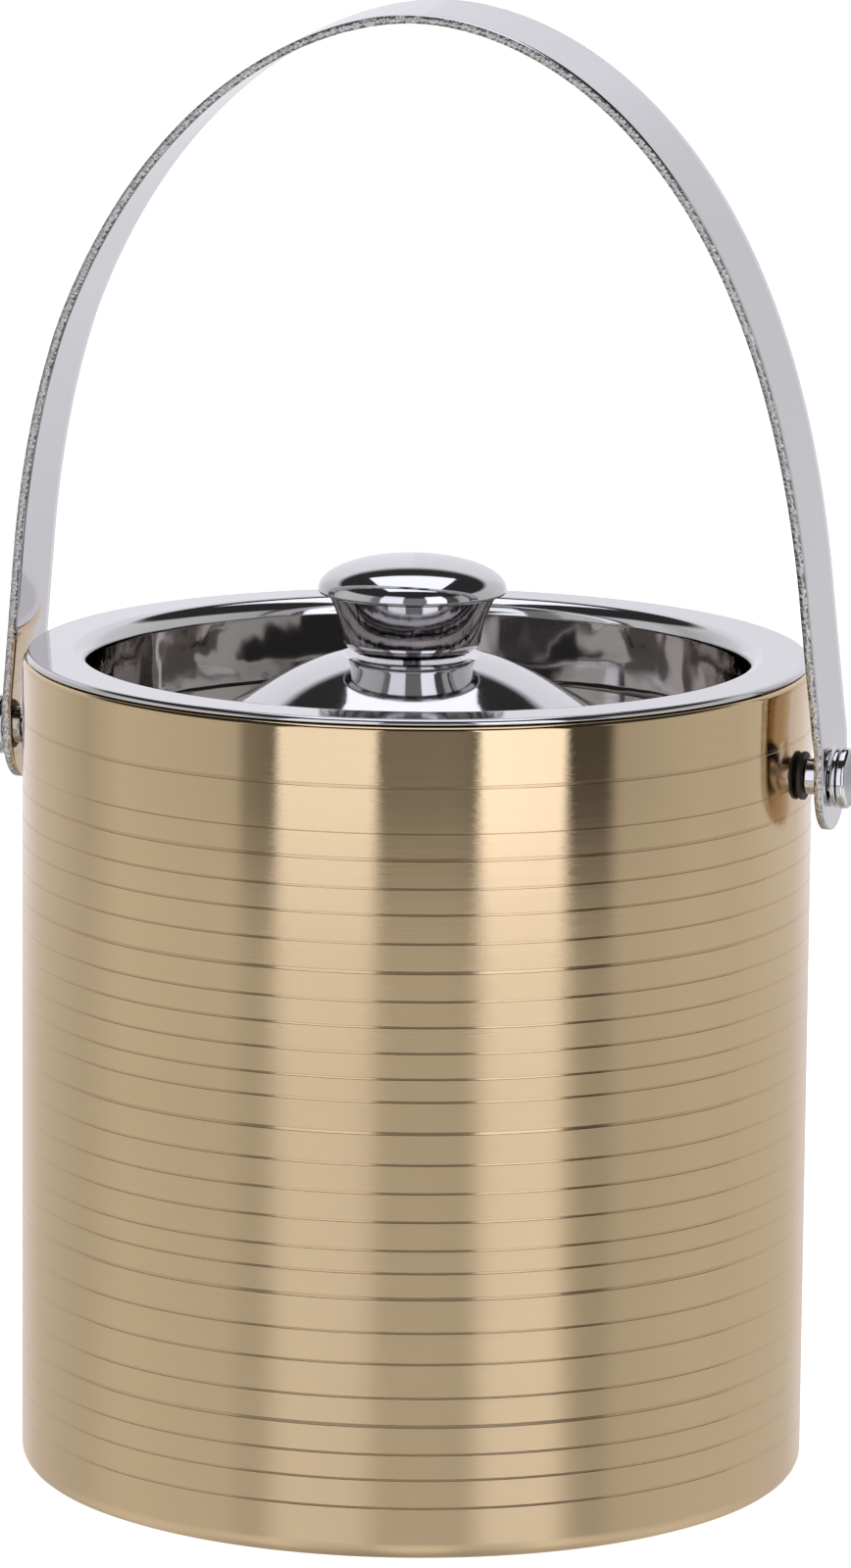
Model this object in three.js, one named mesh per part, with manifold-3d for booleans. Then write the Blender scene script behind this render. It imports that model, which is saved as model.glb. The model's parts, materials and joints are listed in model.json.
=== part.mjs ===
// Ice bucket with a double wall, a swinging strap handle and a lift-off domed lid.
// Millimetres, +Z up. The origin is the centre of the base, on the surface the bucket stands on.
// The handle's pivots lie along X, and the front of the bucket faces -Y.

import * as THREE from 'three'
import { mergeVertices } from 'three/addons/utils/BufferGeometryUtils.js'
import Module from 'manifold-3d'

// Driving dimensions
const bucketRadius = 70
const bucketHeight = 147
const sheet = 0.6 // steel sheet of the shell, the liner and the base
const gap = 0.3 // clearance left between pieces that touch

// Outer shell and base disc
const footRadius = 3 // rounded lower edge of the shell
const footInnerRadius = 60 // the shell's turned-in lower edge ends here
const shellShoulder = 1 // rounded upper edge of the shell
const seam = 0.3 // dark joint between the shell and the liner's flange
const flangeRadius = 69.3
const flangeDrop = 0.9 // height of the flange's rounded outer edge
const shellTop = bucketHeight - flangeDrop - seam
const shellLipRadius = 66.5 // inner edge of the shell's turned-in top
const baseRadius = 66
const basePanelRadius = 56 // the base disc is pressed down inside this radius
const basePanelHeight = 0.4
const baseRimHeight = sheet + gap

// Inner liner
const mouthRadius = 58.3
const mouthFillet = 3
const cupRadius = 55
const cupFillet = 6
const cupFloor = 11
const ledgeHeight = 130.4 // the lid rests on this step in the wall
const ledgeFillet = 0.95

// Lid
const lidSheet = 0.9
const lidRadius = 56.8
const lidPlace = new THREE.Vector3(-1.1, -0.3, 0) // the lid lies a little to one side in the wide mouth
const lidRingHeight = 132.2 // top of the flat ring around the dome
const lidHemRadius = 1.1 // outside bend radius of the turned-down edge
const domeBaseRadius = 40.5
const domeSlope = THREE.MathUtils.degToRad(30)
const domeTop = 148 // where the dome would peak without the knob's flat seat
const knobSeatRadius = 12.6

// Knob
const knobScrewRadius = 1.6
const screwClearance = 0.45
const knobFootRadius = 9.3
const knobShoulderRadius = 12.25
const knobWaistRadius = 12.7 // middle control of the flared side above the shoulder
const knobNeckRadius = 14.9
const knobLipRadius = 16.7
const knobShoulderHeight = 149
const knobLipHeight = 158.2
const knobTop = 164.1
const knobLipHalf = 0.7 // half the thickness of the cap's edge
const knobScrewLength = 7 // how far the screw reaches into the knob
const knobWasherRadius = 6
const knobScrewHeadRadius = 4
const knobScrewHeadHeight = 2.4

// Handle
const pivotHeight = 129
const strapWidth = 18.4
const strapThickness = 1.4
const strapInner = { right: 74.8, left: 73.4 } // inner faces of the strap at the pivots
const strapTab = 6 // the strap stands straight this far above the pivot
const legTop = new THREE.Vector2(72.9, 31) // where the leg runs into the arch
const archHeight = 132.4 // middle of the strap above the pivots
const legSlope = 0.095 // the legs lean in by this much for each millimetre of height
const archShoulder = 78 // length of the lower tangent of the arch
const archCrown = 24 // half length of the upper tangent of the arch
const crownShift = 4 // the bent arch stands a little to the right at its top
const leftBend = 75 // the left leg runs in to its nearer pivot from this height down
const handleLean = THREE.MathUtils.degToRad(4) // the handle is stored leaning forward

// Pivot hardware, each piece given by its span along the pivot axis from the bucket's centre
const boltRadius = 2
const boltClearance = 0.4
const boltEnd = 62.5
const boltHeadRadius = 5.35
const boltHeadHeight = 3.2
const headWasherRadius = 5.2
const headWasherThickness = 0.9
const sleeveRadius = 3.25
const shellWasherRadius = 4.25
const shellWasherThickness = 0.8
const backingPlateRadius = 6
const backingPlateThickness = 1
const nutHeight = 3.2
const nutCornerRadius = 4.04 // hexagon, 7 across its flats

const roundSegments = 48
const knobSegments = 32
const hardwareSegments = 18
const holeSegments = 16
const boxSize = 400

const wasm = await Module()
wasm.setup()

// Finishes
const champagne = { color: 0xb9a27c, roughness: 0.38, metalness: 1 }
const polished = { color: 0xd6d5dc, roughness: 0.12, metalness: 1 }
const satin = { color: 0xb8b7bb, roughness: 0.35, metalness: 1 }
const fibre = { color: 0x2a2624, roughness: 0.8, metalness: 0 }

// Boolean work

function toSolid (geometry) {
  const plain = geometry.clone()
  plain.deleteAttribute('normal')
  plain.deleteAttribute('uv')
  const welded = mergeVertices(plain, 1e-4)
  return new wasm.Manifold(new wasm.Mesh({
    numProp: 3,
    vertProperties: new Float32Array(welded.attributes.position.array),
    triVerts: new Uint32Array(welded.index.array)
  }))
}

function toGeometry (solid) {
  const cut = solid.getMesh()
  const geometry = new THREE.BufferGeometry()
  geometry.setAttribute('position', new THREE.BufferAttribute(new Float32Array(cut.vertProperties), 3))
  geometry.setIndex(new THREE.BufferAttribute(new Uint32Array(cut.triVerts), 1))
  return geometry
}

// Profiles: each is a list of points, x the radius and y the height, that runs anticlockwise

function turned (profile, segments) {
  return new THREE.LatheGeometry(profile, segments).rotateX(Math.PI / 2)
}

// The surface of a sheet, moved sideways by its thickness: to the right of its path if positive
function offsetPath (path, distance) {
  const normals = path.slice(1).map((point, i) => {
    const run = point.clone().sub(path[i]).normalize()
    return new THREE.Vector2(run.y, -run.x)
  })
  return path.map((point, i) => {
    const before = normals[Math.max(i - 1, 0)]
    const after = normals[Math.min(i, normals.length - 1)]
    const middle = before.clone().add(after).normalize()
    return point.clone().addScaledVector(middle, distance / middle.dot(after))
  })
}

function pressed (path, thickness) {
  const back = offsetPath(path, thickness)
  const profile = thickness > 0 ? [...back, ...path.slice().reverse()] : [...path, ...back.slice().reverse()]
  if (profile[0].x > 0) profile.push(profile[0].clone())
  return profile
}

function samples (path, divisions) {
  const points = path.getPoints(divisions)
  return points.filter((point, i) => i === 0 || point.distanceTo(points[i - 1]) > 1e-6)
}

function disc (innerRadius, outerRadius, low, high) {
  return [
    new THREE.Vector2(innerRadius, low),
    new THREE.Vector2(outerRadius, low),
    new THREE.Vector2(outerRadius, high),
    new THREE.Vector2(innerRadius, high),
    new THREE.Vector2(innerRadius, low)
  ]
}

// Outer shell: a drawn tube with both edges turned in, pierced for the two pivot bolts

function shellGeometry () {
  const path = new THREE.Path()
  path.moveTo(footInnerRadius, 0)
  path.lineTo(bucketRadius - footRadius, 0)
  path.absarc(bucketRadius - footRadius, footRadius, footRadius, -Math.PI / 2, 0, false)
  path.absarc(bucketRadius - shellShoulder, shellTop - shellShoulder, shellShoulder, 0, Math.PI / 2, false)
  path.lineTo(shellLipRadius, shellTop)
  const shell = toSolid(turned(pressed(samples(path, 2), -sheet), roundSegments))
  const drill = new THREE.CylinderGeometry(
    boltRadius + boltClearance, boltRadius + boltClearance, boxSize, holeSegments)
  drill.rotateZ(Math.PI / 2).translate(0, 0, pivotHeight)
  return toGeometry(shell.subtract(toSolid(drill)))
}

// Base disc: a pressed disc that lies on the shell's turned-in edge and closes the bottom

function baseGeometry () {
  const stepWidth = 2.4
  const path = [
    new THREE.Vector2(0, basePanelHeight),
    new THREE.Vector2(basePanelRadius, basePanelHeight),
    new THREE.Vector2(basePanelRadius + stepWidth, baseRimHeight),
    new THREE.Vector2(baseRadius, baseRimHeight)
  ]
  return turned(pressed(path, -sheet), roundSegments)
}

// Inner liner: a drawn cup with a ledge for the lid and a flange that covers the shell's top edge

function linerGeometry () {
  const ledgeOuter = mouthRadius - ledgeFillet
  const path = new THREE.Path()
  path.moveTo(0, cupFloor)
  path.lineTo(cupRadius - cupFillet, cupFloor)
  path.absarc(cupRadius - cupFillet, cupFloor + cupFillet, cupFillet, -Math.PI / 2, 0, false)
  path.absarc(cupRadius + ledgeFillet, ledgeHeight - ledgeFillet, ledgeFillet, Math.PI, Math.PI / 2, true)
  path.absarc(ledgeOuter, ledgeHeight + ledgeFillet, ledgeFillet, -Math.PI / 2, 0, false)
  path.absarc(mouthRadius + mouthFillet, bucketHeight - mouthFillet, mouthFillet, Math.PI, Math.PI / 2, true)
  path.absarc(flangeRadius - flangeDrop, bucketHeight - flangeDrop, flangeDrop, Math.PI / 2, 0, true)
  return turned(pressed(samples(path, 1), sheet), roundSegments)
}

// Lid: a pressed dome with a flat ring around it, a turned-down edge and a flat seat for the knob

function lidGeometry () {
  const rise = domeTop - lidRingHeight
  const crownRadius = (domeBaseRadius * Math.tan(domeSlope) - rise) /
    (Math.sin(domeSlope) * Math.tan(domeSlope) + Math.cos(domeSlope) - 1)
  const crownCentre = domeTop - crownRadius
  const seatAngle = Math.asin(knobSeatRadius / crownRadius)
  const seatHeight = crownCentre + crownRadius * Math.cos(seatAngle)
  const path = new THREE.Path()
  path.moveTo(knobScrewRadius + screwClearance, seatHeight)
  path.lineTo(knobSeatRadius, seatHeight)
  path.absarc(0, crownCentre, crownRadius, Math.PI / 2 - seatAngle, Math.PI / 2 - domeSlope, true)
  path.lineTo(domeBaseRadius, lidRingHeight)
  path.lineTo(lidRadius - lidHemRadius, lidRingHeight)
  path.absarc(lidRadius - lidHemRadius, lidRingHeight - lidHemRadius, lidHemRadius, Math.PI / 2, 0, true)
  path.lineTo(lidRadius, ledgeHeight + gap)
  return { geometry: turned(pressed(samples(path, 2), lidSheet), roundSegments), seatHeight }
}

// Knob: a waisted body under a low domed cap, drawn down on the lid by a screw from below

function knobBodyGeometry (seatHeight) {
  const foot = seatHeight + gap
  const hole = knobScrewRadius + screwClearance
  const boreTop = foot + knobScrewLength + 1
  const top = knobLipHeight - knobLipHalf - gap
  const side = new THREE.Path()
  side.moveTo(hole, foot)
  side.lineTo(knobFootRadius, foot)
  side.quadraticCurveTo(knobShoulderRadius - 0.5, foot + 0.8, knobShoulderRadius, knobShoulderHeight)
  side.quadraticCurveTo(knobWaistRadius, (knobShoulderHeight + top) / 2, knobNeckRadius, top)
  side.lineTo(0, top)
  return [...samples(side, 3), new THREE.Vector2(0, boreTop), new THREE.Vector2(hole, boreTop),
    new THREE.Vector2(hole, foot)]
}

function knobCapGeometry () {
  const rim = knobLipRadius - knobLipHalf
  const side = new THREE.Path()
  side.moveTo(0, knobLipHeight - knobLipHalf)
  side.lineTo(rim, knobLipHeight - knobLipHalf)
  side.absarc(rim, knobLipHeight, knobLipHalf, -Math.PI / 2, 0, false)
  side.absellipse(0, knobLipHeight, knobLipRadius, knobTop - knobLipHeight, 0, Math.PI / 2, false, 0)
  return turned(samples(side, 3), knobSegments)
}

function knobScrewGeometry (seatHeight) {
  const headTop = seatHeight - lidSheet - gap - sheet - gap
  const tip = seatHeight + gap + knobScrewLength
  const crown = 0.6
  return turned([
    new THREE.Vector2(0, headTop - knobScrewHeadHeight),
    new THREE.Vector2(knobScrewHeadRadius - crown, headTop - knobScrewHeadHeight),
    new THREE.Vector2(knobScrewHeadRadius, headTop - knobScrewHeadHeight + crown),
    new THREE.Vector2(knobScrewHeadRadius, headTop),
    new THREE.Vector2(knobScrewRadius, headTop),
    new THREE.Vector2(knobScrewRadius, tip),
    new THREE.Vector2(0, tip)
  ], hardwareSegments)
}

// Handle: one flat strap bent to an arch, with round ends pierced for the pivot bolts

function strapGeometry () {
  const pivotX = strapInner.right + strapThickness / 2
  const endRadius = strapWidth / 2
  const shoulder = new THREE.Vector2(legTop.x - archShoulder * legSlope, legTop.y + archShoulder)
  const arch = new THREE.CubicBezierCurve(
    legTop, shoulder, new THREE.Vector2(archCrown, archHeight), new THREE.Vector2(0, archHeight))
  const half = [
    new THREE.Vector2(pivotX, -endRadius),
    new THREE.Vector2(pivotX, 0),
    new THREE.Vector2(pivotX, strapTab),
    ...arch.getPoints(26)
  ]
  const mirrored = half.slice(0, -1).reverse().map((point) => new THREE.Vector2(-point.x, point.y))
  const middle = [...half, ...mirrored]
  middle.forEach((point) => {
    const height = Math.max(point.y, 0)
    if (point.x < 0 && height < leftBend) {
      point.x += (strapInner.right - strapInner.left) * (1 - (height / leftBend) ** 2)
    }
    point.x += crownShift * (height / archHeight) ** 2
  })
  const outline = [
    ...offsetPath(middle, strapThickness / 2),
    ...offsetPath(middle, -strapThickness / 2).reverse()
  ]
  const band = new THREE.ExtrudeGeometry(new THREE.Shape(outline), { depth: strapWidth, bevelEnabled: false })
  band.rotateX(Math.PI / 2).translate(0, strapWidth / 2, 0)

  const above = new THREE.BoxGeometry(boxSize, boxSize, boxSize).translate(0, 0, boxSize / 2)
  const ends = new THREE.CylinderGeometry(endRadius, endRadius, boxSize, hardwareSegments * 2)
  ends.rotateZ(Math.PI / 2)
  const hole = new THREE.CylinderGeometry(
    boltRadius + boltClearance, boltRadius + boltClearance, boxSize, holeSegments)
  hole.rotateZ(Math.PI / 2)
  const keep = toSolid(above).add(toSolid(ends))
  return toGeometry(toSolid(band).intersect(keep).subtract(toSolid(hole)))
}

// Pivot hardware, turned about Z and laid along X by its group

function boltGeometry (headInner) {
  const crown = 1.1
  const neck = 0.9 // straight side of the head below its crown
  return turned([
    new THREE.Vector2(0, boltEnd),
    new THREE.Vector2(boltRadius, boltEnd),
    new THREE.Vector2(boltRadius, headInner),
    new THREE.Vector2(boltHeadRadius, headInner),
    new THREE.Vector2(boltHeadRadius, headInner + neck),
    new THREE.Vector2(boltHeadRadius - crown, headInner + boltHeadHeight - crown),
    new THREE.Vector2(boltHeadRadius / 2, headInner + boltHeadHeight - 0.3),
    new THREE.Vector2(0, headInner + boltHeadHeight)
  ], hardwareSegments)
}

function nutGeometry (inner) {
  return turned(disc(boltRadius + gap, nutCornerRadius, inner, inner + nutHeight), 6)
}

// Assembly

const iceBucket = new THREE.Group()

function place (name, geometry, finish, parent = iceBucket) {
  const mesh = new THREE.Mesh(geometry, new THREE.MeshStandardMaterial(finish))
  mesh.name = name
  parent.add(mesh)
  return mesh
}

place('outer_shell', shellGeometry(), champagne)
place('base_disc', baseGeometry(), satin)
place('inner_liner', linerGeometry(), polished)

const lidGroup = new THREE.Group()
lidGroup.position.copy(lidPlace)
iceBucket.add(lidGroup)
const lid = lidGeometry()
const lidHole = knobScrewRadius + screwClearance
const lidUnderside = lid.seatHeight - lidSheet
place('lid', lid.geometry, polished, lidGroup)
place('knob_body', turned(knobBodyGeometry(lid.seatHeight), knobSegments), polished, lidGroup)
place('knob_cap', knobCapGeometry(), polished, lidGroup)
place('knob_washer', turned(
  disc(lidHole, knobWasherRadius, lidUnderside - gap - sheet, lidUnderside - gap), hardwareSegments), satin,
lidGroup)
place('knob_screw', knobScrewGeometry(lid.seatHeight), satin, lidGroup)

const handle = new THREE.Group()
handle.position.z = pivotHeight
handle.rotation.x = handleLean
iceBucket.add(handle)
place('handle_strap', strapGeometry(), polished, handle)

const headWasherInner = Math.max(strapInner.right, strapInner.left) + strapThickness + gap
const shellWasherInner = bucketRadius + gap
const sleeveInner = shellWasherInner + shellWasherThickness + gap
const backingPlateInner = bucketRadius - sheet - 2 * gap - backingPlateThickness
const boltHole = boltRadius + gap
for (const [side, turn] of [['right', 0], ['left', Math.PI]]) {
  const pivot = new THREE.Group()
  pivot.position.z = pivotHeight
  pivot.rotation.z = turn
  const axis = new THREE.Group()
  axis.rotation.y = Math.PI / 2
  pivot.add(axis)
  iceBucket.add(pivot)
  place(`${side}_pivot_bolt`, boltGeometry(headWasherInner + headWasherThickness + gap), polished, axis)
  place(`${side}_head_washer`, turned(
    disc(boltHole, headWasherRadius, headWasherInner, headWasherInner + headWasherThickness),
    hardwareSegments), polished, axis)
  place(`${side}_spacer_sleeve`, turned(
    disc(boltHole, sleeveRadius, sleeveInner, strapInner[side] - gap), hardwareSegments), polished, axis)
  place(`${side}_shell_washer`, turned(
    disc(boltHole, shellWasherRadius, shellWasherInner, shellWasherInner + shellWasherThickness),
    hardwareSegments), fibre, axis)
  place(`${side}_backing_plate`, turned(
    disc(boltHole, backingPlateRadius, backingPlateInner, backingPlateInner + backingPlateThickness),
    hardwareSegments), satin, axis)
  place(`${side}_pivot_nut`, nutGeometry(backingPlateInner - gap - nutHeight), satin, axis)
}

export default iceBucket
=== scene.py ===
"""A double-walled ice bucket: champagne shell, polished liner, lid and strap handle, in a white studio."""
import json
from math import cos, pi, radians, sin, sqrt, tan

import bmesh
import bpy
from mathutils import Matrix, Vector
from mathutils.geometry import interpolate_bezier


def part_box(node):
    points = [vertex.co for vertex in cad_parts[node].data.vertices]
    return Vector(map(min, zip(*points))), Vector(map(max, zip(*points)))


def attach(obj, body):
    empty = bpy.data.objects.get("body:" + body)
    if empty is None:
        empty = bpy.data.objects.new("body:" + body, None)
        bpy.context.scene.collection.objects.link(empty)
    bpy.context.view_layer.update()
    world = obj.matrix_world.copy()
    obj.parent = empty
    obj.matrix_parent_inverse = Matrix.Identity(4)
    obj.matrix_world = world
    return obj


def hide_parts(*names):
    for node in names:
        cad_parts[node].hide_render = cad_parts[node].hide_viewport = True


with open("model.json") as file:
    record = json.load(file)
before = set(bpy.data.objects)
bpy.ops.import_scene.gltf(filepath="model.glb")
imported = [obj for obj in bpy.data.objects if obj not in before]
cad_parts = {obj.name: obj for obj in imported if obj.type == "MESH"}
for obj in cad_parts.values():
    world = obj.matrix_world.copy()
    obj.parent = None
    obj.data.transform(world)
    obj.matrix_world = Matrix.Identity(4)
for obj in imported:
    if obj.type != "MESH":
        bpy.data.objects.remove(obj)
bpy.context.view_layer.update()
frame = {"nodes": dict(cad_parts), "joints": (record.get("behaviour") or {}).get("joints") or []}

# ---------------------------------------------------------------------------------------------
# The camera: a long lens a metre and a half away, a little to the right of the front, looking
# down into the mouth and held a hair off level.
# ---------------------------------------------------------------------------------------------
MM = 0.001  # one millimetre, in Blender's metres
camera_turn = radians(16.8)
camera_pitch = radians(10.72)
camera_roll = radians(0.556)
camera_distance = 1416.9 * MM
camera_height = 391.2 * MM
camera_side = 1.5 * MM
lens_length = 186.4
sensor_height = 36.0

turn = Matrix.Rotation(camera_turn, 4, "Z")
lens = bpy.data.cameras.new("camera")
lens.sensor_fit = "VERTICAL"
lens.sensor_height = sensor_height
lens.lens = lens_length
lens.clip_start = 0.05
lens.clip_end = 50
camera = bpy.data.objects.new("camera", lens)
camera.matrix_world = (
    turn
    @ Matrix.Translation((camera_side, -camera_distance, camera_height))
    @ Matrix.Rotation(pi / 2 - camera_pitch, 4, "X")
    @ Matrix.Rotation(camera_roll, 4, "Z")
)
bpy.context.scene.collection.objects.link(camera)
bpy.context.scene.camera = camera
bpy.context.scene.view_settings.view_transform = "Standard"


# ---------------------------------------------------------------------------------------------
# The studio: a white sweep behind, a dark room behind the camera, a pale table, two tall
# softboxes and one overhead. The metal shows all of it, so each has its place and brightness.
# ---------------------------------------------------------------------------------------------
def add(tree, kind, inputs=(), **settings):
    """Adds a node: settings are its properties, inputs are values or the sockets that feed it."""
    made = tree.nodes.new(kind)
    for name, value in settings.items():
        setattr(made, name, value)
    for socket, value in dict(inputs).items():
        if isinstance(value, bpy.types.NodeSocket):
            tree.links.new(value, made.inputs[socket])
        else:
            made.inputs[socket].default_value = value
    return made


def ramp(tree, factor, stops):
    """A colour ramp through (position, grey or colour) stops."""
    made = add(tree, "ShaderNodeValToRGB", {"Fac": factor})
    elements = made.color_ramp.elements
    while len(elements) > 1:
        elements.remove(elements[-1])
    for i, (position, value) in enumerate(stops):
        stop = elements[0] if i == 0 else elements.new(position)
        stop.position = position
        stop.color = (value, value, value, 1) if isinstance(value, float) else value
    return made.outputs["Color"]


def compass(degrees):
    """Place on the azimuth ramp of a direction, counted from the camera to the right."""
    return degrees / 360 + 0.5


def rise(degrees):
    """Place on the elevation ramp of a direction above or below the horizon."""
    return degrees / 180 + 0.5


world = bpy.data.worlds.new("studio")
world.use_nodes = True
bpy.context.scene.world = world
room = world.node_tree
room.nodes.clear()
way = add(room, "ShaderNodeTexCoord").outputs["Generated"]
way = add(room, "ShaderNodeVectorRotate", {"Vector": way, "Angle": -camera_turn}).outputs["Vector"]
part = add(room, "ShaderNodeSeparateXYZ", {"Vector": way})
behind = add(room, "ShaderNodeMath", {0: part.outputs["Y"], 1: -1.0}, operation="MULTIPLY")
azimuth = add(room, "ShaderNodeMath", {0: part.outputs["X"], 1: behind.outputs[0]}, operation="ARCTAN2")
azimuth = add(room, "ShaderNodeMath", {0: azimuth.outputs[0], 1: 1 / (2 * pi), 2: 0.5},
              operation="MULTIPLY_ADD").outputs[0]
height = add(room, "ShaderNodeMath", {0: part.outputs["Z"]}, operation="ARCSINE")
height = add(room, "ShaderNodeMath", {0: height.outputs[0], 1: 1 / pi, 2: 0.5},
             operation="MULTIPLY_ADD").outputs[0]

# Brightness of what stands round the bucket, by degrees to the right of the camera. White paper
# hangs behind, the sides are pale and the room behind the camera is dark grey. A black flag
# stands just outside the right softbox.
paper = (0.88, 0.87, 0.93, 1)
paper_edge = (0.84, 0.83, 0.88, 1)
paper_curl = (0.7, 0.69, 0.72, 1)
wall_tones = [
    (-180, paper), (-158, paper_edge), (-146, paper_curl), (-128, 0.6), (-111, 0.47), (-95, 0.62),
    (-60, 0.54), (-53, 0.5), (-51, 0.25), (-45, 0.2), (10, 0.22), (44, 0.08), (57, 0.08), (60, 0.44),
    (90, 0.56), (106, 0.56), (128, 0.66), (146, paper_curl), (158, paper_edge)]
# The table is lit in front, but lies in the shade at the foot of each softbox
table_tones = [
    (-180, 0.4), (-140, 0.6), (-120, 0.85), (-65, 0.85), (-50, 1.2), (-42, 1.1), (-38, 0.7), (-13, 0.7),
    (-9, 1.25), (15, 1.25), (19, 0.6), (41, 0.6), (45, 1.3), (54, 1.3), (68, 0.85), (120, 0.85), (140, 0.6)]
dark_ceiling = (0.03, 0.03, 0.03, 1)
walls = ramp(room, azimuth, [(compass(angle), tone) for angle, tone in wall_tones])
table = ramp(room, azimuth, [(compass(angle), tone) for angle, tone in table_tones])
# Straight below the bucket the table is darker: painted shadow of the bucket on the table
bucket_shadow_on_table = ramp(room, height, [(rise(-90), 0.45), (rise(-65), 0.5), (rise(-50), 1.0)])
table = add(room, "ShaderNodeMix", {0: 1.0, 6: table, 7: bucket_shadow_on_table},
            data_type="RGBA", blend_type="MULTIPLY").outputs[2]
on_table = ramp(room, height, [(rise(-90), 1.0), (rise(-27), 1.0), (rise(-14), 0.0)])
above_paper = ramp(room, height, [(rise(-90), 0.0), (rise(32), 0.0), (rise(37), 1.0)])
lower = add(room, "ShaderNodeMix", {0: on_table, 6: walls, 7: table}, data_type="RGBA").outputs[2]
surround = add(room, "ShaderNodeMix", {0: above_paper, 6: lower, 7: dark_ceiling},
               data_type="RGBA").outputs[2]
seen = add(room, "ShaderNodeLightPath").outputs["Is Camera Ray"]
backdrop = (1, 1, 1, 1)
shown = add(room, "ShaderNodeMix", {0: seen, 6: surround, 7: backdrop}, data_type="RGBA").outputs[2]
glow = add(room, "ShaderNodeBackground", {"Color": shown, "Strength": 1.0})
add(room, "ShaderNodeOutputWorld", {"Surface": glow.outputs[0]})


daylight = (0.98, 1.0, 1.1)


def softbox(name, width, length, brightness, *moves):
    """A rectangular soft light, its brightness counted in white surfaces, facing down until moved."""
    light = bpy.data.lights.new(name, "AREA")
    light.shape = "RECTANGLE"
    light.size = width
    light.size_y = length
    light.energy = brightness * pi * width * length
    light.color = daylight
    lamp = bpy.data.objects.new(name, light)
    lamp.matrix_world = turn.copy()
    for move in moves:
        lamp.matrix_world = lamp.matrix_world @ move
    bpy.context.scene.collection.objects.link(lamp)


def tall_softbox(name, from_side, to_side, brightness):
    """A softbox that stands beside the camera and fills the azimuths between two angles."""
    width = 2 * tall_distance * tan(radians(to_side - from_side) / 2)
    softbox(name, width, tall_top - tall_bottom, brightness,
            Matrix.Rotation(radians((from_side + to_side) / 2), 4, "Z"),
            Matrix.Translation((0, -tall_distance, (tall_bottom + tall_top) / 2)),
            Matrix.Rotation(pi / 2, 4, "X"))


tall_distance = 1.3
tall_bottom = -0.28
tall_top = 1.4
tall_softbox("left_softbox", -39.5, -11, 0.92)
tall_softbox("right_softbox", 17.5, 42.5, 1.28)
overhead_width = 0.75
overhead_length = 1.15
softbox("overhead_softbox", overhead_width, overhead_length, 1.3, Matrix.Translation((0, 0.35, 1.25)))


def hexed(code):
    """The linear colour of an sRGB hex code."""
    parts = [int(code[i:i + 2], 16) / 255 for i in (1, 3, 5)]
    return [c / 12.92 if c <= 0.04045 else ((c + 0.055) / 1.055) ** 2.4 for c in parts] + [1.0]


def surface(name, **values):
    """A material with one Principled shader, its uniform values set, and its node tree."""
    made = bpy.data.materials.new(name)
    made.use_nodes = True
    shader = made.node_tree.nodes["Principled BSDF"]
    for socket, value in values.items():
        shader.inputs[socket.replace("_", " ")].default_value = value
    return made, made.node_tree, shader


floor_size = 12.0
floor_level = -0.2 * MM
# Matt white paper, lit evenly enough to lose its own shading
white_sweep, _, _ = surface("white_sweep_paper", Base_Color=hexed("#F4F4F4"), Roughness=0.9,
                            Emission_Color=hexed("#FFFFFF"), Emission_Strength=0.9)
bm = bmesh.new()
bmesh.ops.create_grid(bm, x_segments=1, y_segments=1, size=floor_size / 2)
bmesh.ops.translate(bm, verts=bm.verts, vec=(0, 0, floor_level))
mesh = bpy.data.meshes.new("floor")
bm.to_mesh(mesh)
bm.free()
mesh.materials.append(white_sweep)
floor = bpy.data.objects.new("floor", mesh)
floor.visible_glossy = False  # the room already holds the table that the metal shows
floor.visible_shadow = False
bpy.context.scene.collection.objects.link(floor)


# ---------------------------------------------------------------------------------------------
# Outer shell: a drawn stainless tube, brushed round and round and coated champagne gold, with
# 26 fine bright lines turned into it. Its foot and its top edge are turned in.
# ---------------------------------------------------------------------------------------------
sharp_edge = radians(32)


def piece(name, bm, materials, body, slot, *nodes):
    """Makes an object of the bmesh, smooth but for its sharp corners, puts it on its body and hides the
    frame's nodes that it stands for.
    """
    mesh = bpy.data.meshes.new(name)
    bm.to_mesh(mesh)
    bm.free()
    mesh.polygons.foreach_set("use_smooth", [True] * len(mesh.polygons))
    mesh.set_sharp_from_angle(angle=sharp_edge)
    for material in materials:
        mesh.materials.append(material)
    made = bpy.data.objects.new(name, mesh)
    bpy.context.scene.collection.objects.link(made)
    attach(made, body)
    if nodes:
        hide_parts(*nodes)
    return made


bend_margin = 0.12
bend_step = radians(15)
weld = 0.002


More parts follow.
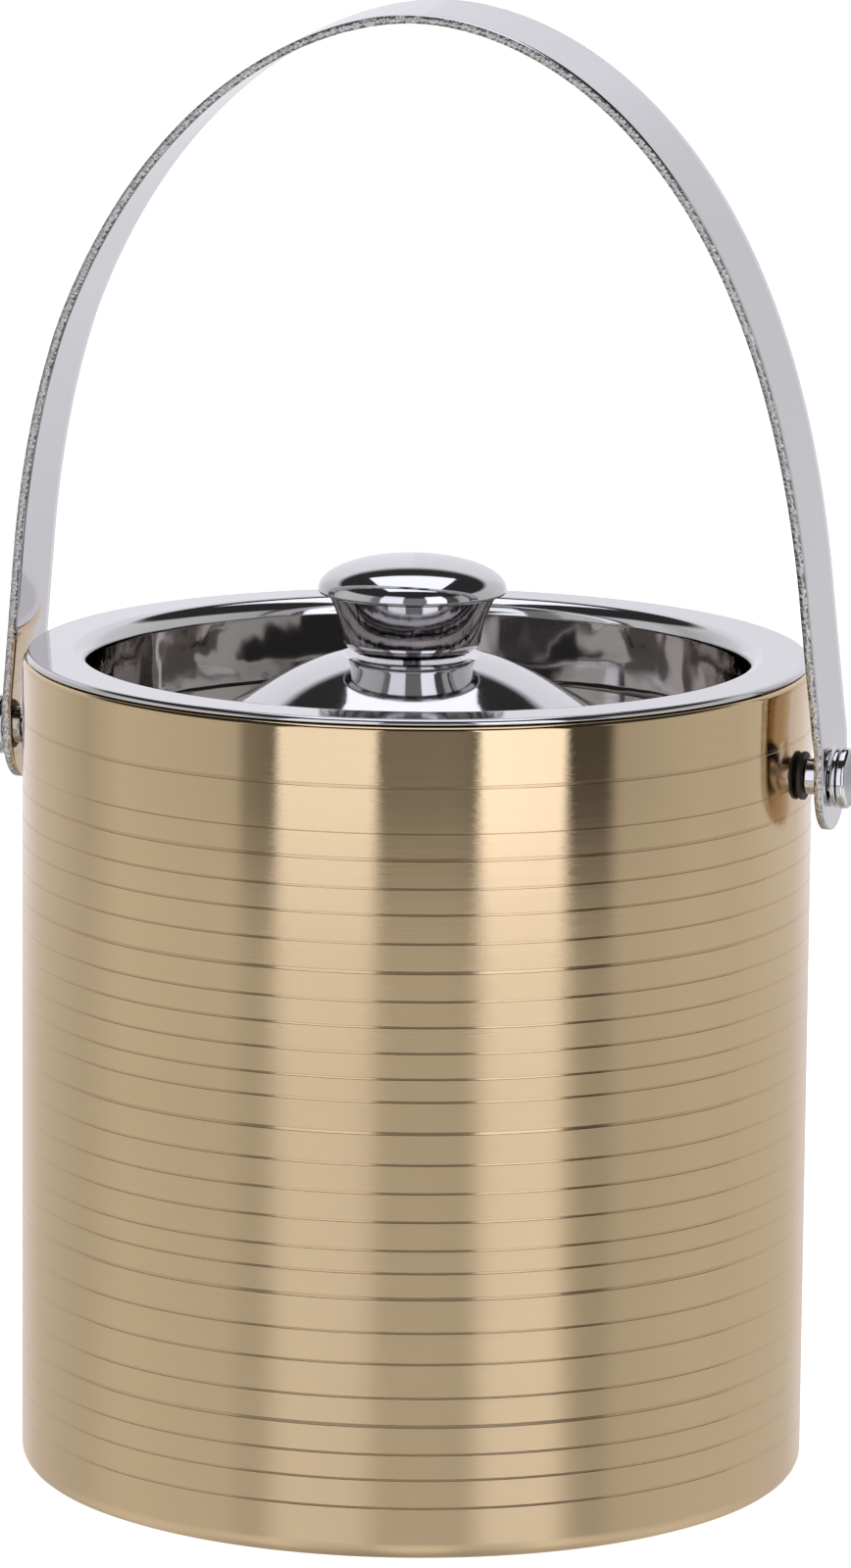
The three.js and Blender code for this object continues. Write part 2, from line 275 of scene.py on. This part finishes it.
def turned(outline, steps, finished=None, closed=False):
    """Spins an outline of (radius, height, bend radius) points, in millimetres, about the Z axis.
    finished is a point, as (radius, height), on the side that a sheet's finished face looks to."""
    bm = bmesh.new()
    corners = [bm.verts.new((r, 0, z)) for r, z, _ in outline]
    pairs = list(zip(corners, corners[1:])) + ([(corners[-1], corners[0])] if closed else [])
    for pair in pairs:
        bm.edges.new(pair)
    for corner, (_, _, bend) in zip(corners, outline):
        if bend:
            first, second = [(e.other_vert(corner).co - corner.co).normalized() for e in corner.link_edges]
            turning = pi - first.angle(second)
            offset = bend * tan(turning / 2)
            for edge in list(corner.link_edges):  # a point on each side keeps the straight parts flat
                if edge.calc_length() > offset + 3 * bend_margin:
                    bmesh.utils.edge_split(edge, corner, (offset + bend_margin) / edge.calc_length())
            bmesh.ops.bevel(bm, geom=[corner], offset=offset, offset_type="OFFSET",
                            segments=max(2, round(turning / bend_step)), profile=0.5,
                            affect="VERTICES", material=-1)
    bmesh.ops.spin(bm, geom=bm.verts[:] + bm.edges[:], cent=(0, 0, 0), axis=(0, 0, 1),
                   angle=2 * pi, steps=steps, use_merge=True)
    bmesh.ops.remove_doubles(bm, verts=bm.verts, dist=weld)
    bmesh.ops.recalc_face_normals(bm, faces=bm.faces)
    if finished:
        widest = max(bm.faces, key=lambda face: face.calc_area())
        centre = widest.calc_center_median()
        across = Vector((centre.x, centre.y, 0)).normalized() * finished[0]
        if widest.normal.dot(across + Vector((0, 0, finished[1])) - centre) < 0:
            bmesh.ops.reverse_faces(bm, faces=bm.faces)
    bmesh.ops.scale(bm, vec=(MM, MM, MM), verts=bm.verts)
    return bm


def sheet_wall(made, thickness, offset=-1, rim_material=0):
    """Gives a surface the wall of a steel sheet, behind its finished face, or about it at offset 0."""
    wall = made.modifiers.new("sheet", "SOLIDIFY")
    wall.thickness = thickness * MM
    wall.offset = offset
    wall.use_even_offset = True
    wall.material_offset_rim = rim_material


def drilled(made, radius, height):
    """Cuts a round hole along X right through the object, at a height."""
    drill_length = 400.0
    drill_steps = 48
    bm = bmesh.new()
    bmesh.ops.create_cone(bm, cap_ends=True, segments=drill_steps, radius1=radius * MM,
                          radius2=radius * MM, depth=drill_length * MM)
    bmesh.ops.rotate(bm, verts=bm.verts, matrix=Matrix.Rotation(pi / 2, 3, "Y"))
    bmesh.ops.translate(bm, verts=bm.verts, vec=(0, 0, height * MM))
    mesh = bpy.data.meshes.new("drill")
    bm.to_mesh(mesh)
    bm.free()
    drill = bpy.data.objects.new("drill", mesh)
    bpy.context.scene.collection.objects.link(drill)
    hole = made.modifiers.new("hole", "BOOLEAN")
    hole.operation = "DIFFERENCE"
    hole.solver = "EXACT"
    hole.object = drill
    bpy.context.view_layer.update()
    cut = bpy.data.meshes.new_from_object(made.evaluated_get(bpy.context.evaluated_depsgraph_get()))
    made.modifiers.clear()
    made.data = cut
    bpy.data.objects.remove(drill)


shell_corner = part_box("outer_shell")[1]
bucket_radius = shell_corner.x / MM
shell_top = shell_corner.z / MM
shell_lip = 66.5
bucket_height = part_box("inner_liner")[1].z / MM
foot_inner = 60.0
foot_bend = 3.0
shell_shoulder = 1.0
sheet = 0.6
pivot_height = frame["joints"][0]["pos_m"][2] / MM
bolt_hole = 2.4
round_steps = 256

# The turned lines are given one by one: the top one's height, the steps down from line to line,
# and which of them are cut wider or finer than the rest
first_line = 135.5
line_steps = [8, 4.5, 5, 4.5, 5, 5, 5, 4.5, 4.5, 4.5, 4, 5.5, 5.5, 5, 5, 5, 4, 4.5, 6, 5.5, 6, 5, 5, 4.5, 5]
line_width = 0.42
wide_line_width = 0.62
faint_line_width = 0.2
wide_lines = (0, 2, 6, 12, 18, 22)
faint_lines = (1,)
line_depth = 0.06

outline = [(foot_inner, 0, 0), (bucket_radius, 0, foot_bend)]
line_height = first_line - sum(line_steps)
spans = []
for number in range(len(line_steps), -1, -1):
    width = wide_line_width if number in wide_lines else line_width
    width = faint_line_width if number in faint_lines else width
    spans.append((line_height - width / 2, line_height + width / 2))
    line_height += line_steps[number - 1] if number else 0
for lower, upper in spans:
    outline += [(bucket_radius, lower, 0), (bucket_radius - line_depth, lower + line_depth, 0),
                (bucket_radius - line_depth, upper - line_depth, 0), (bucket_radius, upper, 0)]
outline += [(bucket_radius, shell_top, shell_shoulder), (shell_lip, shell_top, 0)]

# Brushed steel under a champagne coat: long fine marks run round it and stretch every reflection
# up and down. It is brushed more lightly towards the top, where reflections are sharp. Real
# brush marks are finer, and these are drawn just coarse enough to show.
brush_grit = 0.12
brush_length = 60.0
brush_depth = 0.06
drag_height = 1.111
drag_length = 83.3
full_brush_height = 80.0
light_brush_height = 146.0
champagne, tree, shader = surface("champagne_coated_brushed_steel", Metallic=1.0, Anisotropic=1.0,
                                  Anisotropic_Rotation=0.25)
place = add(tree, "ShaderNodeTexCoord").outputs["Object"]


def round_marks(tree, place, length, height):
    """Scales a place for marks of a length round the bucket and a height, in millimetres."""
    scale = (1 / (length * MM), 1 / (length * MM), 1 / (height * MM))
    return add(tree, "ShaderNodeMapping", {"Vector": place, "Scale": scale}).outputs[0]


brush = add(tree, "ShaderNodeTexNoise", {"Vector": round_marks(tree, place, brush_length, brush_grit),
                                         "Scale": 1.0, "Detail": 3.0, "Roughness": 0.6}).outputs["Fac"]
drag = add(tree, "ShaderNodeTexNoise", {"Vector": round_marks(tree, place, drag_length, drag_height),
                                        "Scale": 1.0, "Detail": 2.0}).outputs["Fac"]
tint = add(tree, "ShaderNodeMix", {0: brush, 6: hexed("#DEC39B"), 7: hexed("#E6CCA6")},
           data_type="RGBA").outputs[2]
up = add(tree, "ShaderNodeSeparateXYZ", {"Vector": place}).outputs["Z"]
up = add(tree, "ShaderNodeMapRange", {"Value": up, "From Min": full_brush_height * MM,
                                      "From Max": light_brush_height * MM}).outputs[0]
gloss = ramp(tree, up, [(0.0, 0.29), (0.35, 0.24), (0.6, 0.14), (0.8, 0.07), (1.0, 0.03)])
gloss = add(tree, "ShaderNodeMath", {0: drag, 1: 0.03, 2: gloss}, operation="MULTIPLY_ADD").outputs[0]
depth = ramp(tree, up, [(0.0, 0.22), (0.35, 0.2), (0.6, 0.14), (0.8, 0.1), (1.0, 0.07)])
relief = add(tree, "ShaderNodeBump", {"Height": brush, "Strength": depth, "Distance": brush_depth * MM})
round_grain = add(tree, "ShaderNodeTangent", direction_type="RADIAL", axis="Z")
tree.links.new(tint, shader.inputs["Base Color"])
tree.links.new(gloss, shader.inputs["Roughness"])
tree.links.new(relief.outputs[0], shader.inputs["Normal"])
tree.links.new(round_grain.outputs[0], shader.inputs["Tangent"])

# The turned lines: the point of the tool leaves a bright floor with hair-fine marks round it
tool_mark = 0.04
bright_line, tree, shader = surface("polished_turned_line", Metallic=1.0)
place = add(tree, "ShaderNodeTexCoord").outputs["Object"]
cut = add(tree, "ShaderNodeTexNoise", {"Vector": round_marks(tree, place, brush_length, tool_mark),
                                       "Scale": 1.0, "Detail": 2.0}).outputs["Fac"]
tint = add(tree, "ShaderNodeMix", {0: cut, 6: hexed("#CDB18C"), 7: hexed("#DDC19C")},
           data_type="RGBA").outputs[2]
tree.links.new(tint, shader.inputs["Base Color"])
tree.links.new(ramp(tree, cut, [(0.3, 0.1), (0.7, 0.16)]), shader.inputs["Roughness"])

outside = (200, 60)
bm = turned(outline, round_steps, finished=outside)
for face in bm.faces:
    height = face.calc_center_median().z / MM
    if any(lower < height < upper for lower, upper in spans):
        face.material_index = 1
shell = piece("champagne_shell", bm, [champagne, bright_line], "bucket", "champagne_steel", "outer_shell")
sheet_wall(shell, sheet)
drilled(shell, bolt_hole, pivot_height)

# ---------------------------------------------------------------------------------------------
# Base disc: a pressed satin steel disc that closes the bottom. Its rim is set up by a small
# step and lies on the shell's turned-in edge.
# ---------------------------------------------------------------------------------------------
base_low, base_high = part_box("base_disc")
base_floor = base_low.z / MM
base_radius = base_high.x / MM
base_panel = 56.0
base_step = 2.4
base_bend = 1.5
resting_gap = 0.3
base_rim = sheet + resting_gap
base_steps = 128

# Satin stainless steel: a fine even frost with no direction, so highlights on it are soft
grain = 0.35
frost_depth = 0.02
satin, tree, shader = surface("satin_stainless_steel", Metallic=1.0)
place = add(tree, "ShaderNodeTexCoord").outputs["Object"]
frost = add(tree, "ShaderNodeTexNoise", {"Vector": place, "Scale": 1 / (grain * MM),
                                         "Detail": 3.0}).outputs["Fac"]
tint = add(tree, "ShaderNodeMix", {0: frost, 6: hexed("#BFBEC2"), 7: hexed("#D0CFD3")},
           data_type="RGBA").outputs[2]
relief = add(tree, "ShaderNodeBump", {"Height": frost, "Strength": 0.5, "Distance": frost_depth * MM})
tree.links.new(tint, shader.inputs["Base Color"])
tree.links.new(ramp(tree, frost, [(0.3, 0.28), (0.7, 0.4)]), shader.inputs["Roughness"])
tree.links.new(relief.outputs[0], shader.inputs["Normal"])

underside = (0, -200)
bm = turned([(0, base_floor, 0), (base_panel, base_floor, base_bend),
             (base_panel + base_step, base_rim, base_bend), (base_radius, base_rim, 0)],
            base_steps, finished=underside)
base = piece("base_plate", bm, [satin], "bucket", "satin_steel", "base_disc")
sheet_wall(base, sheet)

# ---------------------------------------------------------------------------------------------
# Inner liner: a deep-drawn cup with a ledge for the lid and a flat flange over the shell's top.
# It is mirror-polished, and the drawing has left it a little wavy.
# ---------------------------------------------------------------------------------------------
mouth_radius = 58.3
mouth_bend = 3.0
cup_radius = 55.0
cup_bend = 6.0
cup_floor = 11.0
ledge_height = 130.4
ledge_bend = 0.95
flange_radius = 69.3
flange_drop = 0.9
wheel_mark = 0.33


def mirror_steel(name, ripple, depth, low_tone, high_tone):
    """Steel polished on a wheel, which leaves faint marks. It lies in ripples of a size and a depth."""
    made, tree, shader = surface(name, Metallic=1.0)
    place = add(tree, "ShaderNodeTexCoord").outputs["Object"]
    wheel = add(tree, "ShaderNodeTexNoise", {"Vector": place, "Scale": 1 / (wheel_mark * MM),
                                             "Detail": 2.0}).outputs["Fac"]
    across = add(tree, "ShaderNodeMapping", {
        "Vector": place, "Scale": [1 / (length * MM) for length in ripple]}).outputs[0]
    swell = add(tree, "ShaderNodeTexNoise", {"Vector": across, "Scale": 1.0, "Detail": 1.5}).outputs["Fac"]
    tint = add(tree, "ShaderNodeMix", {0: wheel, 6: hexed(low_tone), 7: hexed(high_tone)},
               data_type="RGBA").outputs[2]
    relief = add(tree, "ShaderNodeBump", {"Height": swell, "Strength": 1.0, "Distance": depth * MM})
    tree.links.new(tint, shader.inputs["Base Color"])
    tree.links.new(ramp(tree, wheel, [(0.3, 0.04), (0.7, 0.09)]), shader.inputs["Roughness"])
    tree.links.new(relief.outputs[0], shader.inputs["Normal"])
    return made


# Mirror-polished stainless steel: clear reflections that swim a little on its slow ripples
polished = mirror_steel("mirror_polished_stainless_steel", (14, 14, 14), 0.03, "#D9D8DA", "#E1E0E2")
# Drawn stainless steel, polished in the cup: the draw left it wavy, which breaks reflections up. Its tint is
# darker and warmer than the polished steel's: painted shade with a warm painted reflection inside the cup
drawn_steel_painted_shade = mirror_steel("drawn_polished_steel_painted_shade", (11, 11, 17), 0.5, "#BDB7B3", "#C8C3BF")

inside = (0, 100)
bm = turned([(0, cup_floor, 0), (cup_radius, cup_floor, cup_bend), (cup_radius, ledge_height, ledge_bend),
             (mouth_radius, ledge_height, ledge_bend), (mouth_radius, bucket_height, mouth_bend),
             (flange_radius, bucket_height, flange_drop), (flange_radius, bucket_height - flange_drop, 0)],
            round_steps, finished=inside)
# Inside the cup, below the bend at the mouth, the liner takes the darker, warmer copy of the steel: painted
# shade
for face in bm.faces:
    if face.calc_center_median().z / MM < bucket_height - mouth_bend:
        face.material_index = 1
liner = piece("polished_liner", bm, [polished, drawn_steel_painted_shade], "bucket", "polished_steel", "inner_liner")
sheet_wall(liner, sheet)

# ---------------------------------------------------------------------------------------------
# Lid: a pressed and polished steel dome with a flat ring round it. Its edge is turned down and
# sits loose on the liner's ledge, a little to one side.
# ---------------------------------------------------------------------------------------------
lid_low, lid_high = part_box("lid")
lid_place = (lid_low + lid_high) / 2
lid_radius = (lid_high.x - lid_low.x) / 2 / MM
seat_height = lid_high.z / MM
seat_radius = 12.6
seat_bend = 1.5
seat_margin = 1.0
ring_height = 132.2
dome_base = 40.5
dome_base_bend = 4.0
dome_slope = radians(30)
dome_top = 148.0
hem_bend = 1.1
screw_hole = 2.05
lid_sheet = 0.9
dome_rise = dome_top - ring_height
crown_radius = (dome_base * tan(dome_slope) - dome_rise) / (
    sin(dome_slope) * tan(dome_slope) + cos(dome_slope) - 1)
crown_steps = 14
outline = [(screw_hole, seat_height, 0), (seat_radius, seat_height, seat_bend)]
for step in range(crown_steps + 1):
    lean = dome_slope * (step + 1) / (crown_steps + 1)
    if crown_radius * sin(lean) > seat_radius + seat_margin:
        outline.append((crown_radius * sin(lean), dome_top - crown_radius * (1 - cos(lean)), 0))
outline += [(dome_base, ring_height, dome_base_bend), (lid_radius, ring_height, hem_bend),
            (lid_radius, ledge_height + resting_gap, 0)]


def on_lid(bm):
    """Puts a piece made about the Z axis where the lid lies in the mouth."""
    bmesh.ops.translate(bm, verts=bm.verts, vec=(lid_place.x, lid_place.y, 0))
    return bm


above = (0, 300)
bm = on_lid(turned(outline, round_steps, finished=above))
lid = piece("polished_lid", bm, [polished], "lid", "polished_steel", "lid")
sheet_wall(lid, lid_sheet)

# ---------------------------------------------------------------------------------------------
# Knob: a waisted body turned from steel under a low domed cap, both polished. A screw through
# a washer holds it from inside the lid.
# ---------------------------------------------------------------------------------------------
body_low, body_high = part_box("knob_body")
cap_low, cap_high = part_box("knob_cap")
body_foot = body_low.z / MM
body_top = body_high.z / MM
neck_radius = (body_high.x - body_low.x) / 2 / MM
shoulder_radius = 12.25
shoulder_height = 149.0
shoulder_edge = 0.12
waist_radius = 12.7
foot_radius = 9.3
foot_flare = (shoulder_radius - 0.5, body_foot + 0.8)
bore_depth = 8.0
bore_top = body_foot + bore_depth
knob_steps = 160
waist_steps = 16
flare_steps = 12


def curve(start, middle, end, steps):
    """Points of (radius, height, 0) on the parabola that starts and ends here and leans to the middle."""
    points = []
    for i in range(1, steps):
        t = i / steps
        points.append(tuple((1 - t) ** 2 * a + 2 * t * (1 - t) * b + t * t * c
                            for a, b, c in zip(start, middle, end)) + (0,))
    return points


waist = (waist_radius, (shoulder_height + body_top) / 2)
bm = on_lid(turned([
    (0, body_top, 0), (neck_radius, body_top, 0),
    *curve((neck_radius, body_top), waist, (shoulder_radius, shoulder_height), waist_steps),
    (shoulder_radius, shoulder_height, shoulder_edge),
    *curve((shoulder_radius, shoulder_height), foot_flare, (foot_radius, body_foot), flare_steps),
    (foot_radius, body_foot, 0), (screw_hole, body_foot, 0), (screw_hole, bore_top, 0),
    (0, bore_top, 0)], knob_steps))
piece("knob_stem", bm, [polished], "lid", "polished_steel", "knob_body")

lip_radius = (cap_high.x - cap_low.x) / 2 / MM
cap_top = cap_high.z / MM
cap_bottom = cap_low.z / MM
lip_half = 0.7
lip_bend = 0.56
lip_height = cap_bottom + lip_half
dome_steps = 20
outline = [(0, cap_bottom, 0), (lip_radius, cap_bottom, lip_bend), (lip_radius, lip_height, 0)]
for step in range(1, dome_steps):
    angle = pi / 2 * step / dome_steps
    outline.append((lip_radius * cos(angle), lip_height + (cap_top - lip_height) * sin(angle), 0))
outline.append((0, cap_top, 0))
bm = on_lid(turned(outline, knob_steps))
piece("knob_dome_cap", bm, [polished], "lid", "polished_steel", "knob_cap")


def finish_in_satin(*nodes):
    """Gives nodes of the frame, whose shape stays, a satin steel finish."""
    for node in nodes:
        finishes = frame["nodes"][node].data.materials
        finishes.clear()
        finishes.append(satin)


finish_in_satin("knob_washer", "knob_screw")

# ---------------------------------------------------------------------------------------------
# Handle: a flat polished steel strap, sheared to width and bent by hand to an arch that leans a
# little. Its round ends are pierced for the pivot bolts.
# ---------------------------------------------------------------------------------------------
strap_width = 18.4
strap_thickness = 1.4
strap_inner = 74.8
left_inner = 73.4
left_bend = 75.0
strap_tab = 6.0
leg_top = (72.9, 31.0)
arch_height = 132.4
leg_slope = 0.095
arch_shoulder = 78.0
arch_crown = 24.0
crown_shift = 4.0
handle_lean = radians(4)
arch_steps = 70
end_steps = 12
leg_steps = 10
strap_across = 12
end_radius = strap_width / 2

middle = strap_inner + strap_thickness / 2
shoulder = Vector((leg_top[0] - arch_shoulder * leg_slope, 0, leg_top[1] + arch_shoulder))
arch = interpolate_bezier(Vector((leg_top[0], 0, leg_top[1])), shoulder,
                          Vector((arch_crown, 0, arch_height)), Vector((0, 0, arch_height)), arch_steps)
end_heights = [-end_radius * cos(pi / 2 * i / end_steps) for i in range(end_steps + 1)]
tab = [Vector((middle, 0, z)) for z in end_heights + [strap_tab]]
leg = [tab[-1].lerp(arch[0], i / leg_steps) for i in range(1, leg_steps)]
half = tab + leg + list(arch)
route = half + [Vector((-p.x, 0, p.z)) for p in reversed(half[:-1])]
for point in route:
    height = max(point.z, 0)
    if point.x < 0 and height < left_bend:
        point.x += (strap_inner - left_inner) * (1 - (height / left_bend) ** 2)
    point.x += crown_shift * (height / arch_height) ** 2

# A flat blank is narrowed to round ends, whose tips keep a little width, and laid along the route
tip_reach_squared = 0.02
bm = bmesh.new()
bmesh.ops.create_grid(bm, x_segments=len(route) - 1, y_segments=strap_across, size=1)
for vert in bm.verts:
    point = route[round((vert.co.x + 1) / 2 * (len(route) - 1))]
    reach = sqrt(max(end_radius ** 2 - min(point.z, 0) ** 2, tip_reach_squared))
    vert.co = (point.x, reach * vert.co.y, point.z)
bmesh.ops.recalc_face_normals(bm, faces=bm.faces)
crown = max(bm.faces, key=lambda face: face.calc_center_median().z)
if crown.normal.z < 0:
    bmesh.ops.reverse_faces(bm, faces=bm.faces)
bmesh.ops.rotate(bm, verts=bm.verts, cent=(0, 0, 0), matrix=Matrix.Rotation(handle_lean, 3, "X"))
bmesh.ops.translate(bm, verts=bm.verts, vec=(0, 0, pivot_height))
bmesh.ops.scale(bm, vec=(MM, MM, MM), verts=bm.verts)

# Sheared stainless steel: the blade tears the edge into small facets that glitter
tear_size = 0.7
tear_depth = 0.22
sheared, tree, shader = surface("sheared_steel_edge", Metallic=1.0, Roughness=0.3,
                                Base_Color=hexed("#C6C3C1"))
place = add(tree, "ShaderNodeTexCoord").outputs["Object"]
tear = add(tree, "ShaderNodeTexVoronoi", {"Vector": place, "Scale": 1 / (tear_size * MM)}).outputs["Distance"]
relief = add(tree, "ShaderNodeBump", {"Height": tear, "Strength": 1.0, "Distance": tear_depth * MM})
tree.links.new(relief.outputs[0], shader.inputs["Normal"])
strap = piece("strap_handle", bm, [polished, sheared], "handle", "polished_steel", "handle_strap")
sheet_wall(strap, strap_thickness, offset=0, rim_material=1)
drilled(strap, bolt_hole, pivot_height)

# ---------------------------------------------------------------------------------------------
# Pivot hardware: on each side a domed bolt with a washer under its head, a sleeve that keeps
# the strap off the shell, a dark fibre washer, and a plate and nut inside the double wall.
# ---------------------------------------------------------------------------------------------

# Vulcanised fibre: black-brown and pressed hard, with a slight gloss on a felted surface
fibre_length = 0.25
fibre_depth = 0.05
fibre, tree, shader = surface("dark_fibre", Roughness=0.5)
place = add(tree, "ShaderNodeTexCoord").outputs["Object"]
felt = add(tree, "ShaderNodeTexNoise", {"Vector": place, "Scale": 1 / (fibre_length * MM),
                                        "Detail": 4.0}).outputs["Fac"]
tint = add(tree, "ShaderNodeMix", {0: felt, 6: hexed("#1E1B1A"), 7: hexed("#37322F")},
           data_type="RGBA").outputs[2]
relief = add(tree, "ShaderNodeBump", {"Height": felt, "Strength": 0.6, "Distance": fibre_depth * MM})
tree.links.new(tint, shader.inputs["Base Color"])
tree.links.new(relief.outputs[0], shader.inputs["Normal"])


def laid_along_x(bm, side):
    """Turns a piece made about Z to lie on the pivot axis, on the right (1) or the left (-1)."""
    bmesh.ops.rotate(bm, verts=bm.verts, matrix=Matrix.Rotation(side * pi / 2, 3, "Y"))
    bmesh.ops.translate(bm, verts=bm.verts, vec=(0, 0, pivot_height * MM))
    return bm


def ring(inner, outer, low, high, bend):
    """The outline of a washer or sleeve, its outer corners rounded."""
    return [(inner, low, 0), (outer, low, bend), (outer, high, bend), (inner, high, 0)]


bolt_shank = 2.0
bolt_clearance = 0.3
shank_chamfer = 0.3
head_depth = 3.2
head_seat_bend = 0.2
head_side = 1.3
head_side_bend = 0.9
crown_share = 0.45
head_crown = 0.35
head_crown_bend = 4.0
satin_from = 1.6
bolt_steps = 96
washer_steps = 72
for side, name in ((1, "right"), (-1, "left")):
    def span(node):
        """How far out from the axis of the bucket a node lies, from and to, and its own radius."""
        low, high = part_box(f"{name}_{node}")
        return sorted((abs(low.x) / MM, abs(high.x) / MM)), high.y / MM

    (bolt_end, head_top), head_radius = span("pivot_bolt")
    head_base = head_top - head_depth
    bm = turned([(0, bolt_end, 0), (bolt_shank, bolt_end, shank_chamfer), (bolt_shank, head_base, 0),
                 (head_radius, head_base, head_seat_bend),
                 (head_radius, head_base + head_side, head_side_bend),
                 (head_radius * crown_share, head_top - head_crown, head_crown_bend),
                 (0, head_top, 0)], bolt_steps)
    for face in bm.faces:
        if face.calc_center_median().z / MM > head_base + satin_from:
            face.material_index = 1
    piece(f"{name}_bolt", laid_along_x(bm, side), [polished, satin], "bucket", "polished_steel",
          f"{name}_pivot_bolt")
    for node, made_name, bend, finish, slot in (
            ("head_washer", "plate_washer", 0.25, polished, "polished_steel"),
            ("spacer_sleeve", "sleeve", 0.25, polished, "polished_steel"),
            ("shell_washer", "fibre_washer", 0.15, fibre, "black_fibre")):
        (low, high), radius = span(node)
        bm = turned(ring(bolt_shank + bolt_clearance, radius, low, high, bend), washer_steps, closed=True)
        piece(f"{name}_{made_name}", laid_along_x(bm, side), [finish], "bucket", slot, f"{name}_{node}")
    finish_in_satin(f"{name}_backing_plate", f"{name}_pivot_nut")
